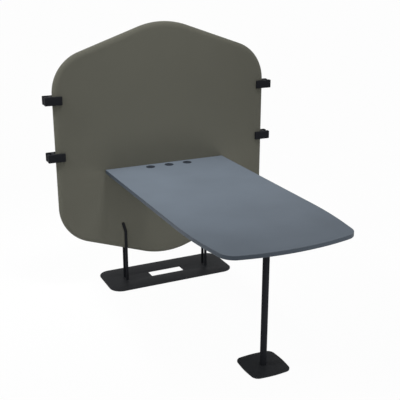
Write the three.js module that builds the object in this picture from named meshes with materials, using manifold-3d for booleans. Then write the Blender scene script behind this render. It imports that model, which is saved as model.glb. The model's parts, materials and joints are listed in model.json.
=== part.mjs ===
// Desk with privacy screen: an upholstered six-sided screen on a slotted floor plate, and a
// long desktop that runs out square from the screen's face to one post with its own foot.
// Lengths are in millimetres. X runs along the screen, +Y from the desktop's free end
// towards the screen, and +Z is up. The pieces are first set out from the screen's middle
// plane, and the whole is then moved so that the origin is on the floor, in the middle of
// the footprint.

import * as THREE from "three";
import { mergeVertices } from "three/addons/utils/BufferGeometryUtils.js";
import Module from "manifold-3d";

const wasm = await Module();
wasm.setup();

// Fits and fineness
const gap = 0.3; // between two pieces that meet
const overrun = 5; // how far a cutting tool runs past the piece that it cuts
const mergeDistance = 1e-4; // points closer than this are one point
const arcHeight = 0.3; // of a rounded corner above the straight steps that it is drawn with
const roundSides = 24;
const screwSides = 12;
const socketSides = 6;

// Screen
const screenWidth = 1342;
const screenMiddleHeight = 866; // above the floor
const screenSideHeight = 1019; // between the corners of the outline, before rounding
const screenTipRise = 233.5; // from a side corner to the tip, before rounding
const screenTipRadius = 461;
const screenSideRadius = 243.5;
const screenThickness = 45;
const screenSeamWidth = 1; // flat band in the middle of the rounded rim
const screenRimSteps = 5;
const boardThickness = 18;
const boardInset = 26;

// Floor plates: each lies on a thin felt pad
const floorPadThickness = 2;
const floorPadInset = 6;
const floorPlateThickness = 6;
const basePlateWidth = 820;
const basePlateDepth = 325;
const basePlateCornerRadius = 73;
const slotLength = 220;
const slotWidth = 72;
const slotCornerRadius = 3;
const footPlateWidth = 206; // from corner to corner along a side, before rounding
const footPlateBulge = 8.3; // how far each side's middle stands out past its corners
const footPlateCornerRadius = 37.4;
const footPlateSideRadius = 500;

// Rods and what fastens them
const rodRadius = 8.6;
const rodFromPlateEnd = 138.7; // along the base plate, to the rod's axis
const rodBendBelowMiddle = 534; // from the screen's middle height down to the bend
const rodTailLength = 59.4;
const rodLean = THREE.MathUtils.degToRad(15);
const rodScrew = {
  headRadius: 8,
  headHeight: 4,
  shankRadius: 4,
  length: 26,
  socketRadius: 2.9,
  socketDepth: 3,
};
const tiePlaceShare = 0.68; // of the tail's length, from the bend to the tie bar
const tieShankRadius = 6;
const tieThreadRadius = 4;
const tieThreadPastAxis = 2; // how far the thread runs past the rod's axis

// Desktop
const deskHeight = 740;
const deskRearWidth = 769.8;
const deskShoulderWidth = 763.2;
const deskShoulderFromRear = 1201;
const deskShoulderRadius = 2105;
const deskFrontWidth = 680.4;
const deskFrontCornerFromRear = 1477;
const deskFrontCornerRadius = 83;
const deskTipFromRear = 1554.5; // where the front edge's two tangents meet
const deskFrontRadius = 1280;
const deskRearCornerRadius = 4;
const coreThickness = 19;
const laminateThickness = 0.8;
const edgeBandThickness = 2;

// Cable grommets
const grommetSpacing = 120;
const grommetFromRear = 55;
const grommetFlangeRadius = 27;
const grommetFlangeHeight = 1.6;
const grommetFlangeChamfer = 0.6;
const grommetSleeveRadius = 23.7;
const grommetSleeveLength = 26; // below the desktop's face
const grommetBoreRadius = 21.2;
const grommetSeatRadius = 23.2;
const grommetSeatDepth = 0.4; // of the cap's ledge, below the desktop's face
const capSkirtLength = 8.8;
const capSkirtThickness = 1.7;
const capChamfer = 0.4;
const capNotchWidth = 13;
const capNotchFromAxis = 12; // to the notch's nearest point

// Front post
const postRadius = 17;
const postWall = 2;
const postFromRear = 1236.4;
const flangeWidth = 100;
const flangeThickness = 5;
const flangeCornerRadius = 14;
const flangeScrewSpacing = 72;
const flangeStubLength = 30;
const plugLength = 30;
const footScrew = {
  headRadius: 9.5,
  headHeight: 4.5,
  shankRadius: 5,
  length: 32,
  socketRadius: 3.5,
  socketDepth: 3.2,
};
const woodScrew = {
  headRadius: 4.6,
  headHeight: 3,
  shankRadius: 2.5,
  length: 18,
  socketRadius: 1.8,
  socketDepth: 1.8,
};

// Brackets between the desktop and the screen
const bracketSpacing = 480;
const bracketWidth = 60;
const bracketLeg = 45;
const bracketThickness = 3;
const bracketScrewSpacing = 36;
const bracketScrewFromCorner = 24;
const bracketBoltFromCorner = 28;
const bracketBolt = {
  headRadius: 5,
  headHeight: 4,
  shankRadius: 3,
  length: 28,
  socketRadius: 2.6,
  socketDepth: 2.4,
};
const insertRadius = 5.7;
const insertLength = 13;

// Link connectors: the inner socket grips the screen's edge, and the outer T-slot takes a
// key that joins the next screen
const connectorRimClearance = 4; // between the socket's floor and the screen's rim
const connectorLength = 101;
const connectorDepth = 72;
const connectorHeight = 49;
const connectorSocketLength = 55;
const connectorWebThickness = 19;
const connectorPocketLength = 14;
const connectorPocketWidth = 44;
const connectorMouthWidth = 20;
const connectorCornerRadius = 6; // of its four upright outer edges
const connectorEdgeRound = 4; // of the edges of its top and its underside
const connectorEdgeSteps = 3;
const upperConnectorHeight = 1172.6; // of its middle, above the floor
const lowerConnectorHeight = 844.3;

// Levels and planes worked out from the sizes
const plateBottom = floorPadThickness;
const plateTop = plateBottom + floorPlateThickness;
const facePlane = screenThickness / 2; // of the screen's face, from its middle plane
const rodSpacing = basePlateWidth - 2 * rodFromPlateEnd; // between the left and the right pair
const rodBendHeight = screenMiddleHeight - rodBendBelowMiddle; // above the floor
const deskRear = -(facePlane + gap);
const coreTop = deskHeight - laminateThickness;
const coreBottom = coreTop - coreThickness;
const deskUnderside = coreBottom - laminateThickness;
const bandInnerInset = edgeBandThickness + gap;
const postPlane = deskRear - postFromRear;
const flangeBottom = deskUnderside - flangeThickness;
const sides = { left: -1, right: 1 };
const faces = { front: -1, rear: 1 };

// Materials
function paint(color, roughness, metalness) {
  return new THREE.MeshStandardMaterial({ color, roughness, metalness });
}

const materials = {
  upholstery: paint(0x585850, 0.95, 0),
  board: paint(0xb08a5e, 0.8, 0),
  laminate: paint(0x727b85, 0.45, 0),
  edgeBand: paint(0x48525b, 0.5, 0),
  core: paint(0xa98358, 0.85, 0),
  floorSteel: paint(0x2d2e30, 0.5, 0.3),
  blackSteel: paint(0x1e1f21, 0.45, 0.3),
  zincSteel: paint(0x9a9da0, 0.4, 0.9),
  blackPlastic: paint(0x1f1f23, 0.6, 0),
  felt: paint(0x3a3a3a, 1, 0),
};

// Solids: joining and cutting closed geometries
function toSolid(geometry) {
  const bare = geometry.clone();
  bare.deleteAttribute("normal");
  bare.deleteAttribute("uv");
  const merged = mergeVertices(bare, mergeDistance);
  const index = merged.index.array;
  const triangles = [];
  for (let i = 0; i < index.length; i += 3) {
    const [a, b, c] = [index[i], index[i + 1], index[i + 2]];
    if (a !== b && b !== c && c !== a) triangles.push(a, b, c);
  }
  const vertProperties = new Float32Array(merged.attributes.position.array);
  const triVerts = Uint32Array.from(triangles);
  return new wasm.Manifold(new wasm.Mesh({ numProp: 3, vertProperties, triVerts }));
}

function toGeometry(solid) {
  const mesh = solid.getMesh();
  const geometry = new THREE.BufferGeometry();
  geometry.setAttribute("position", new THREE.BufferAttribute(mesh.vertProperties, mesh.numProp));
  geometry.setIndex(new THREE.BufferAttribute(mesh.triVerts, 1));
  geometry.computeVertexNormals();
  return geometry;
}

function cut(blank, tools) {
  return toGeometry(tools.reduce((left, tool) => left.subtract(toSolid(tool)), toSolid(blank)));
}

function join(pieces) {
  return toGeometry(pieces.map(toSolid).reduce((whole, piece) => whole.add(piece)));
}

function keepInside(blank, region) {
  return toGeometry(toSolid(blank).intersect(toSolid(region)));
}

// Outlines: lists of corners, anticlockwise, each with a radius, which is zero at a sharp
// corner. An outline that is drawn in keeps the first one's steps, so that the two run side
// by side
function corner(x, y, radius) {
  return { point: new THREE.Vector2(x, y), radius, firstRadius: radius };
}

function rectangle(width, depth, radius) {
  const [x, y] = [width / 2, depth / 2];
  return [corner(-x, -y, radius), corner(x, -y, radius), corner(x, y, radius), corner(-x, y, radius)];
}

function edgesAt(corners, i) {
  const before = corners.at(i - 1).point;
  const after = corners[(i + 1) % corners.length].point;
  const arriving = corners[i].point.clone().sub(before);
  const leaving = after.clone().sub(corners[i].point);
  return { arriving, leaving };
}

function leftOf(direction) {
  return new THREE.Vector2(-direction.y, direction.x);
}

function insetCorners(corners, inset) {
  return corners.map((original, i) => {
    const { arriving, leaving } = edgesAt(corners, i);
    const first = leftOf(arriving.normalize());
    const second = leftOf(leaving.normalize());
    const shift = first.clone().add(second).divideScalar(1 + first.dot(second));
    const point = original.point.clone().addScaledVector(shift, inset);
    return { ...original, point, radius: Math.max(original.radius - inset, 0) };
  });
}

function cornerArc(corners, i) {
  const { point, radius, firstRadius } = corners[i];
  if (radius === 0) return [point];
  const { arriving, leaving } = edgesAt(corners, i);
  const turn = arriving.angleTo(leaving);
  const direction = arriving.normalize();
  const start = point.clone().addScaledVector(direction, -radius * Math.tan(turn / 2));
  const centre = start.clone().addScaledVector(leftOf(direction), radius);
  const steps = Math.ceil(turn / (2 * Math.acos(1 - arcHeight / firstRadius)));
  return Array.from({ length: steps + 1 }, (_, k) => start.clone().rotateAround(centre, (turn * k) / steps));
}

function roundedPoints(corners) {
  return corners.flatMap((_, i) => cornerArc(corners, i));
}

function roundedOutline(corners, holes = []) {
  const shape = new THREE.Shape(roundedPoints(corners));
  shape.holes.push(...holes.map((hole) => new THREE.Path(roundedPoints(hole))));
  return shape;
}

function polygon(points) {
  return new THREE.Shape(points.map(([x, y]) => new THREE.Vector2(x, y)));
}

// Basic solids
function slab(outline, bottom, thickness) {
  const options = { depth: thickness, bevelEnabled: false };
  return new THREE.ExtrudeGeometry(outline, options).translate(0, 0, bottom);
}

function turned(profile, count = roundSides) {
  const points = profile.map(([radius, height]) => new THREE.Vector2(radius, height));
  return new THREE.LatheGeometry(points, count).rotateX(Math.PI / 2);
}

function upright(radius, bottom, height, count = roundSides) {
  const round = new THREE.CylinderGeometry(radius, radius, height, count);
  return round.rotateX(Math.PI / 2).translate(0, 0, bottom + height / 2);
}

function tube(outerRadius, innerRadius, bottom, height, count = roundSides) {
  const top = bottom + height;
  const profile = [
    [innerRadius, bottom],
    [outerRadius, bottom],
    [outerRadius, top],
    [innerRadius, top],
    [innerRadius, bottom],
  ];
  return turned(profile, count);
}

// A round tool along Y, from one plane to another
function crosswise(radius, x, z, fromY, toY, count = screwSides) {
  const round = new THREE.CylinderGeometry(radius, radius, Math.abs(toY - fromY), count);
  return round.translate(x, (fromY + toY) / 2, z);
}

// Screws point up. A countersunk head starts at z = 0, and a pan head ends there
function socketTool({ socketRadius, socketDepth }, faceHeight) {
  return upright(socketRadius, faceHeight - overrun, socketDepth + overrun, socketSides);
}

function countersunkScrew(size) {
  const profile = [
    [0, 0],
    [size.headRadius, 0],
    [size.shankRadius, size.headHeight],
    [size.shankRadius, size.length],
    [0, size.length],
  ];
  return cut(turned(profile, screwSides), [socketTool(size, 0)]);
}

function panHeadScrew(size) {
  const profile = [
    [0, -size.headHeight],
    [size.headRadius, -size.headHeight],
    [size.headRadius, 0],
    [size.shankRadius, 0],
    [size.shankRadius, size.length],
    [0, size.length],
  ];
  return cut(turned(profile, screwSides), [socketTool(size, -size.headHeight)]);
}

function countersinkTool(size) {
  const mouth = size.headRadius + gap;
  const throat = size.shankRadius + gap;
  return turned(
    [
      [0, -overrun],
      [mouth, -overrun],
      [mouth, gap],
      [throat, size.headHeight + gap],
      [throat, floorPlateThickness + overrun],
      [0, floorPlateThickness + overrun],
    ],
    screwSides,
  );
}

// Screen
function screenCorners() {
  const halfWidth = screenWidth / 2;
  const [low, high] = [-screenSideHeight / 2, screenSideHeight / 2];
  return [
    corner(-halfWidth, low, screenSideRadius),
    corner(0, low - screenTipRise, screenTipRadius),
    corner(halfWidth, low, screenSideRadius),
    corner(halfWidth, high, screenSideRadius),
    corner(0, high + screenTipRise, screenTipRadius),
    corner(-halfWidth, high, screenSideRadius),
  ];
}

// Stands a geometry drawn in XY upright, with its middle at the screen's middle height
function standUp(geometry) {
  return geometry.rotateX(Math.PI / 2).translate(0, 0, screenMiddleHeight);
}

function boardShape(inset, thickness) {
  return standUp(slab(roundedOutline(insetCorners(screenCorners(), inset)), -thickness / 2, thickness));
}

function panelShape() {
  const round = (screenThickness - screenSeamWidth) / 2;
  const panel = new THREE.ExtrudeGeometry(roundedOutline(screenCorners()), {
    depth: screenSeamWidth,
    bevelThickness: round,
    bevelSize: round,
    bevelOffset: -round,
    bevelSegments: screenRimSteps,
  });
  return standUp(panel.translate(0, 0, -screenSeamWidth / 2));
}

function halfSpace(face) {
  const depth = screenThickness;
  const height = 2 * screenMiddleHeight;
  const box = new THREE.BoxGeometry(screenWidth + 2 * overrun, depth, height);
  return box.translate(0, face * (depth / 2 + gap / 2), screenMiddleHeight);
}

function tiePlace(side) {
  const tieAlongTail = rodTailLength * tiePlaceShare;
  const x = side * (rodSpacing / 2 + tieAlongTail * Math.sin(rodLean));
  const z = rodBendHeight + tieAlongTail * Math.cos(rodLean);
  return { x, z };
}

// Where the brackets' screws and bolts lie along X
function bracketPlaces() {
  return Object.values(sides).flatMap((side) =>
    [-1, 1].map((end) => (side * bracketSpacing + end * bracketScrewSpacing) / 2),
  );
}

const boltHeight = deskUnderside - bracketBoltFromCorner;

function tieHoles(radius) {
  return Object.values(sides).map((side) => {
    const { x, z } = tiePlace(side);
    return crosswise(radius, x, z, -screenThickness, screenThickness);
  });
}

function screenBoard() {
  const front = -boardThickness / 2;
  const pockets = bracketPlaces().map((x) =>
    crosswise(insertRadius + gap, x, boltHeight, front - overrun, front + insertLength + gap),
  );
  return cut(boardShape(boardInset, boardThickness), [...tieHoles(tieShankRadius + gap), ...pockets]);
}

function screenPad(face) {
  const pad = keepInside(panelShape(), halfSpace(face));
  const pocket = boardShape(boardInset - gap, boardThickness + 2 * gap);
  const grooves = Object.values(sides).map((side) => rodShape(side, gap).translate(0, face * facePlane, 0));
  const boltHoles = bracketPlaces().map((x) =>
    crosswise(bracketBolt.shankRadius + gap, x, boltHeight, -screenThickness, 0),
  );
  const tools = [pocket, ...grooves, ...tieHoles(tieShankRadius + gap)];
  return cut(pad, face === faces.front ? [...tools, ...boltHoles] : tools);
}

// Rods: a stem, a ball at the bend, and a tail that leans outwards along the screen's face
function rodShape(side, swell) {
  const radius = rodRadius + swell;
  const stem = upright(radius, plateTop - swell, rodBendHeight - plateTop + swell);
  const elbow = new THREE.SphereGeometry(radius, roundSides, roundSides / 2);
  const tail = upright(radius, 0, rodTailLength + swell).rotateY(side * rodLean);
  elbow.translate(0, 0, rodBendHeight);
  tail.translate(0, 0, rodBendHeight);
  return join([stem, elbow, tail]).translate((side * rodSpacing) / 2, 0, 0);
}

function rod(side, face) {
  const { x, z } = tiePlace(side);
  const threadDepth = tieThreadPastAxis + gap;
  const tieHole = crosswise(tieThreadRadius + gap, x, z, face * threadDepth, -face * 2 * rodRadius);
  const footHole = upright(rodScrew.shankRadius + gap, plateBottom, rodScrew.length + gap, screwSides);
  footHole.translate((side * rodSpacing) / 2, 0, 0);
  return cut(rodShape(side, 0), [tieHole, footHole]).translate(0, face * facePlane, 0);
}

function tieBar() {
  const shoulder = facePlane - rodRadius - gap;
  const end = facePlane + tieThreadPastAxis;
  const bar = turned(
    [
      [0, -end],
      [tieThreadRadius, -end],
      [tieThreadRadius, -shoulder],
      [tieShankRadius, -shoulder],
      [tieShankRadius, shoulder],
      [tieThreadRadius, shoulder],
      [tieThreadRadius, end],
      [0, end],
    ],
    screwSides,
  );
  return bar.rotateX(Math.PI / 2);
}

// Floor plates and their felt pads
function slotCorners(widening) {
  return rectangle(slotLength + 2 * widening, slotWidth + 2 * widening, slotCornerRadius + widening);
}

function basePlate() {
  const corners = rectangle(basePlateWidth, basePlateDepth, basePlateCornerRadius);
  const outline = roundedOutline(corners, [slotCorners(0)]);
  const tools = Object.values(sides).flatMap((side) =>
    Object.values(faces).map((face) =>
      countersinkTool(rodScrew).translate((side * rodSpacing) / 2, face * facePlane, plateBottom),
    ),
  );
  return cut(slab(outline, plateBottom, floorPlateThickness), tools);
}

function basePad() {
  const corners = rectangle(basePlateWidth, basePlateDepth, basePlateCornerRadius);
  const outline = roundedOutline(insetCorners(corners, floorPadInset), [slotCorners(floorPadInset)]);
  return slab(outline, 0, floorPadThickness);
}

function footCorners() {
  const half = footPlateWidth / 2;
  const out = half + footPlateBulge;
  return [
    corner(-half, half, footPlateCornerRadius),
    corner(-out, 0, footPlateSideRadius),
    corner(-half, -half, footPlateCornerRadius),
    corner(0, -out, footPlateSideRadius),
    corner(half, -half, footPlateCornerRadius),
    corner(out, 0, footPlateSideRadius),
    corner(half, half, footPlateCornerRadius),
    corner(0, out, footPlateSideRadius),
  ];
}

function footPlate() {
  const blank = slab(roundedOutline(footCorners()), plateBottom, floorPlateThickness);
  return cut(blank, [countersinkTool(footScrew).translate(0, 0, plateBottom)]);
}

function footPad() {
  return slab(roundedOutline(insetCorners(footCorners(), floorPadInset)), 0, floorPadThickness);
}

// Desktop
function deskCorners() {
  const [rear, shoulder, front] = [deskRearWidth / 2, deskShoulderWidth / 2, deskFrontWidth / 2];
  const shoulderPlane = deskRear - deskShoulderFromRear;
  const cornerPlane = deskRear - deskFrontCornerFromRear;
  return [
    corner(-rear, deskRear, deskRearCornerRadius),
    corner(-shoulder, shoulderPlane, deskShoulderRadius),
    corner(-front, cornerPlane, deskFrontCornerRadius),
    corner(0, deskRear - deskTipFromRear, deskFrontRadius),
    corner(front, cornerPlane, deskFrontCornerRadius),
    corner(shoulder, shoulderPlane, deskShoulderRadius),
    corner(rear, deskRear, deskRearCornerRadius),
  ];
}

const grommetPlane = deskRear - grommetFromRear;
const grommetNames = { left: -1, centre: 0, right: 1 };

function grommetHoles() {
  const height = deskHeight - deskUnderside + 2 * overrun;
  return Object.values(grommetNames).map((step) => {
    const hole = upright(grommetSleeveRadius + gap, deskUnderside - overrun, height);
    return hole.translate(step * grommetSpacing, grommetPlane, 0);
  });
}

function flangeScrewPlaces() {
  const reach = flangeScrewSpacing / 2;
  return [-reach, reach].flatMap((x) => [-reach, reach].map((y) => ({ x, y: postPlane + y })));
}

function bracketScrewPlaces() {
  const y = deskRear - bracketScrewFromCorner;
  return bracketPlaces().map((x) => ({ x, y }));
}

// Holes for the wood screws, each from its screw's head to just past the point
function pilotHoles() {
  const hole = ({ x, y }, head) =>
    upright(woodScrew.shankRadius + gap, head, woodScrew.length + gap, screwSides).translate(x, y, 0);
  return [
    ...flangeScrewPlaces().map((place) => hole(place, flangeBottom)),
    ...bracketScrewPlaces().map((place) => hole(place, deskUnderside - bracketThickness)),
  ];
}

function deskLayer(bottom, thickness) {
  const blank = slab(roundedOutline(insetCorners(deskCorners(), bandInnerInset)), bottom, thickness);
  return cut(blank, [...grommetHoles(), ...pilotHoles()]);
}

function edgeBand() {
  const outline = roundedOutline(deskCorners(), [insetCorners(deskCorners(), edgeBandThickness)]);
  return slab(outline, deskUnderside, deskHeight - deskUnderside);
}

// Grommets, drawn with the desktop's face at z = 0
function grommetSleeve() {
  return turned([
    [grommetBoreRadius, -grommetSleeveLength],
    [grommetSleeveRadius, -grommetSleeveLength],
    [grommetSleeveRadius, 0],
    [grommetFlangeRadius, 0],
    [grommetFlangeRadius, grommetFlangeHeight - grommetFlangeChamfer],
    [grommetFlangeRadius - grommetFlangeChamfer, grommetFlangeHeight],
    [grommetSeatRadius, grommetFlangeHeight],
    [grommetSeatRadius, -grommetSeatDepth],
    [grommetBoreRadius, -grommetSeatDepth],
    [grommetBoreRadius, -grommetSleeveLength],
  ]);
}

function grommetCap() {
  const seat = gap - grommetSeatDepth;
  const rim = grommetSeatRadius - gap;
  const skirt = grommetBoreRadius - gap;
  const disc = turned([
    [0, seat],
    [skirt - capSkirtThickness, seat],
    [skirt - capSkirtThickness, seat - capSkirtLength],
    [skirt, seat - capSkirtLength],
    [skirt, seat],
    [rim, seat],
    [rim, grommetFlangeHeight - capChamfer],
    [rim - capChamfer, grommetFlangeHeight],
    [0, grommetFlangeHeight],
  ]);
  const notchRadius = capNotchWidth / 2;
  const notchCentre = capNotchFromAxis + notchRadius;
  const notchBottom = seat - capSkirtLength - overrun;
  const notchHeight = grommetFlangeHeight + overrun - notchBottom;
  const round = upright(notchRadius, notchBottom, notchHeight).translate(0, notchCentre, 0);
  const straight = new THREE.BoxGeometry(capNotchWidth, rim, notchHeight);
  straight.translate(0, notchCentre + rim / 2, notchBottom + notchHeight / 2);
  return cut(disc, [join([round, straight])]);
}

// Front post
function postFlange() {
  const outline = roundedOutline(rectangle(flangeWidth, flangeWidth, flangeCornerRadius));
  const plate = slab(outline, 0, flangeThickness);
  const stubRadius = postRadius - postWall - gap;
  const stub = upright(stubRadius, -flangeStubLength, flangeStubLength + flangeThickness / 2);
  const reach = flangeScrewSpacing / 2;
  const holes = [-reach, reach].flatMap((x) =>
    [-reach, reach].map((y) => {
      const tool = upright(woodScrew.shankRadius + gap, -overrun, flangeThickness + 2 * overrun, screwSides);
      return tool.translate(x, y, 0);
    }),
  );
  return cut(join([plate, stub]), holes);
}

function postTube() {
  return tube(postRadius, postRadius - postWall, plateTop, flangeBottom - plateTop);
}

function postPlug() {
  return tube(postRadius - postWall - gap, footScrew.shankRadius + gap, plateTop, plugLength, screwSides);
}

// Brackets, drawn with the corner at the origin: one leg runs forward, the other down
function deskBracket() {
  const profile = polygon([
    [0, 0],
    [-bracketLeg, 0],
    [-bracketLeg, -bracketThickness],
    [-bracketThickness, -bracketThickness],
    [-bracketThickness, -bracketLeg],
    [0, -bracketLeg],
  ]);
  const blank = new THREE.ExtrudeGeometry(profile, { depth: bracketWidth, bevelEnabled: false });
  blank.rotateX(Math.PI / 2).rotateZ(Math.PI / 2).translate(-bracketWidth / 2, 0, 0);
  const tools = [-1, 1].flatMap((end) => {
    const across = (end * bracketScrewSpacing) / 2;
    const screwHole = upright(woodScrew.shankRadius + gap, -bracketLeg, bracketLeg + overrun, screwSides);
    const boltRadius = bracketBolt.shankRadius + gap;
    return [
      screwHole.translate(across, -bracketScrewFromCorner, 0),
      crosswise(boltRadius, across, -bracketBoltFromCorner, -bracketLeg, overrun),
    ];
  });
  return cut(blank, tools);
}

function threadedInsert() {
  return tube(insertRadius, bracketBolt.shankRadius + gap, 0, insertLength, screwSides);
}

// Link connector, drawn for the right side: x grows outwards from its inner end
function linkConnector() {
  const [outerY, gripY] = [connectorDepth / 2, facePlane + gap];
  const [pocketY, mouthY] = [connectorPocketWidth / 2, connectorMouthWidth / 2];
  const webOuter = connectorSocketLength + connectorWebThickness;
  const pocketOuter = webOuter + connectorPocketLength;
  const half = [
    corner(webOuter, pocketY, 0),
    corner(pocketOuter, pocketY, 0),
    corner(pocketOuter, mouthY, 0),
    corner(connectorLength, mouthY, 0),
    corner(connectorLength, outerY, connectorCornerRadius),
    corner(0, outerY, connectorCornerRadius),
    corner(0, gripY, 0),
    corner(connectorSocketLength, gripY, 0),
  ];
  const otherHalf = half.map(({ point, radius }) => corner(point.x, -point.y, radius)).reverse();
  const body = new THREE.ExtrudeGeometry(roundedOutline([...half, ...otherHalf]), {
    depth: connectorHeight - 2 * connectorEdgeRound,
    bevelThickness: connectorEdgeRound,
    bevelSize: connectorEdgeRound,
    bevelOffset: -connectorEdgeRound,
    bevelSegments: connectorEdgeSteps,
  });
  return body.translate(0, 0, connectorEdgeRound - connectorHeight / 2);
}

// Assembly
const assembly = new THREE.Group();

function add(name, geometry, material, place = [0, 0, 0]) {
  const mesh = new THREE.Mesh(geometry, material);
  mesh.name = name;
  mesh.position.set(...place);
  assembly.add(mesh);
  return mesh;
}

function addScreen() {
  add("screen_board", screenBoard(), materials.board);
  add("screen_front_pad", screenPad(faces.front), materials.upholstery);
  add("screen_rear_pad", screenPad(faces.rear), materials.upholstery);
}

function addStand() {
  add("base_plate_pad", basePad(), materials.felt);
  add("base_plate", basePlate(), materials.floorSteel);
  for (const [sideName, side] of Object.entries(sides)) {
    for (const [faceName, face] of Object.entries(faces)) {
      const label = `${faceName}_${sideName}`;
      const foot = [(side * rodSpacing) / 2, face * facePlane, plateBottom];
      add(`rod_${label}`, rod(side, face), materials.blackSteel);
      add(`rod_screw_${label}`, countersunkScrew(rodScrew), materials.zincSteel, foot);
    }
    const { x, z } = tiePlace(side);
    add(`tie_bar_${sideName}`, tieBar(), materials.zincSteel, [x, 0, z]);
  }
}

function addDesktop() {
  add("desktop_core", deskLayer(coreBottom, coreThickness), materials.core);
  add("top_laminate", deskLayer(coreTop, laminateThickness), materials.laminate);
  add("backing_laminate", deskLayer(deskUnderside, laminateThickness), materials.laminate);
  add("edge_band", edgeBand(), materials.edgeBand);
  for (const [name, step] of Object.entries(grommetNames)) {
    const place = [step * grommetSpacing, grommetPlane, deskHeight];
    add(`grommet_sleeve_${name}`, grommetSleeve(), materials.blackPlastic, place);
    add(`grommet_cap_${name}`, grommetCap(), materials.blackPlastic, place);
  }
}

function addPost() {
  add("foot_plate_pad", footPad(), materials.felt, [0, postPlane, 0]);
  add("foot_plate", footPlate(), materials.floorSteel, [0, postPlane, 0]);
  add("foot_screw", countersunkScrew(footScrew), materials.zincSteel, [0, postPlane, plateBottom]);
  add("post_plug", postPlug(), materials.zincSteel, [0, postPlane, 0]);
  add("front_post", postTube(), materials.blackSteel, [0, postPlane, 0]);
  add("post_flange", postFlange(), materials.blackSteel, [0, postPlane, flangeBottom]);
  flangeScrewPlaces().forEach(({ x, y }, i) => {
    add(`flange_screw_${i + 1}`, panHeadScrew(woodScrew), materials.zincSteel, [x, y, flangeBottom]);
  });
}

function addBrackets() {
  for (const [name, side] of Object.entries(sides)) {
    const place = [(side * bracketSpacing) / 2, deskRear, deskUnderside];
    add(`desk_bracket_${name}`, deskBracket(), materials.blackSteel, place);
  }
  bracketScrewPlaces().forEach(({ x, y }, i) => {
    const place = [x, y, deskUnderside - bracketThickness];
    add(`bracket_screw_${i + 1}`, panHeadScrew(woodScrew), materials.zincSteel, place);
  });
  bracketPlaces().forEach((x, i) => {
    const boltPlace = [x, deskRear - bracketThickness, boltHeight];
    const insertPlace = [x, -boardThickness / 2, boltHeight];
    const bolt = add(`bracket_bolt_${i + 1}`, panHeadScrew(bracketBolt), materials.zincSteel, boltPlace);
    const insert = add(`board_insert_${i + 1}`, threadedInsert(), materials.zincSteel, insertPlace);
    bolt.rotation.x = -Math.PI / 2;
    insert.rotation.x = -Math.PI / 2;
  });
}

function addConnectors() {
  const heights = { upper: upperConnectorHeight, lower: lowerConnectorHeight };
  for (const [level, z] of Object.entries(heights)) {
    for (const [name, side] of Object.entries(sides)) {
      const place = [side * (screenWidth / 2 + connectorRimClearance - connectorSocketLength), 0, z];
      const label = `link_connector_${level}_${name}`;
      const connector = add(label, linkConnector(), materials.blackPlastic, place);
      connector.rotation.z = side === sides.left ? Math.PI : 0;
    }
  }
}

addScreen();
addStand();
addDesktop();
addPost();
addBrackets();
addConnectors();

// The origin goes to the middle of the footprint
const extent = new THREE.Box3().setFromObject(assembly);
assembly.position.set(0, -(extent.min.y + extent.max.y) / 2, 0);

export default assembly;
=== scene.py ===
# Looks of the desk with privacy screen: fine meshes, procedural finishes, a floor, lights and
# the camera. Lengths are in metres, in the part's own frame: X runs along the screen, +Y from
# the desktop's free end towards the screen, and +Z is up from the floor.

import json
import math

import bmesh
import bpy
import numpy as np
from mathutils import Matrix, Vector, geometry

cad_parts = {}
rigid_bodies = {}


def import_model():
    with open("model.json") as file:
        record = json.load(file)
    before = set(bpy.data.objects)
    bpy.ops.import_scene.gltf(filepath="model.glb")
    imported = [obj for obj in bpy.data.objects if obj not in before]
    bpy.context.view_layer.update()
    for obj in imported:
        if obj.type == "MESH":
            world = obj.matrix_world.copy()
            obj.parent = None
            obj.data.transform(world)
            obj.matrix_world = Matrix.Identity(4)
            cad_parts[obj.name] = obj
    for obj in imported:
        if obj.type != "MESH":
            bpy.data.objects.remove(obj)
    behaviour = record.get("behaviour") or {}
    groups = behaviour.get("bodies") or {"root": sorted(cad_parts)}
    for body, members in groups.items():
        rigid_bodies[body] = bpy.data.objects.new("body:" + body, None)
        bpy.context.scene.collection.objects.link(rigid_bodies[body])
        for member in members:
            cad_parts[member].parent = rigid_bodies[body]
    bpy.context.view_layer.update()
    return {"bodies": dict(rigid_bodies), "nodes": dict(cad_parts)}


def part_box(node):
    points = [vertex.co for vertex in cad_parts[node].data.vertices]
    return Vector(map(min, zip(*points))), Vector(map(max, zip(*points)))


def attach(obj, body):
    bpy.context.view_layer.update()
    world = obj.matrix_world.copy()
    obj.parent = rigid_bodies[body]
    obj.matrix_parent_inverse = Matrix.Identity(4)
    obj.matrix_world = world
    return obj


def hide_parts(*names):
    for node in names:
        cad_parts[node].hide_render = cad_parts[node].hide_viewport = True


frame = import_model()

# Fineness
ARC_HEIGHT = 0.00002  # of a curve above the straight steps that it is drawn with
ROUND_SIDES = 96
SCREW_SIDES = 48
EDGE_STEPS = 4
SHARP_ANGLE = math.radians(40)
MERGE_DISTANCE = 1e-7
SHORTEST_EDGE = 2e-6  # that a boolean may leave
SMALLEST_RADIUS = 0.0005  # of a corner that is drawn in
INSIDE_LOOPS = 1  # the triangulation's own number for triangles within the given loops

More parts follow.
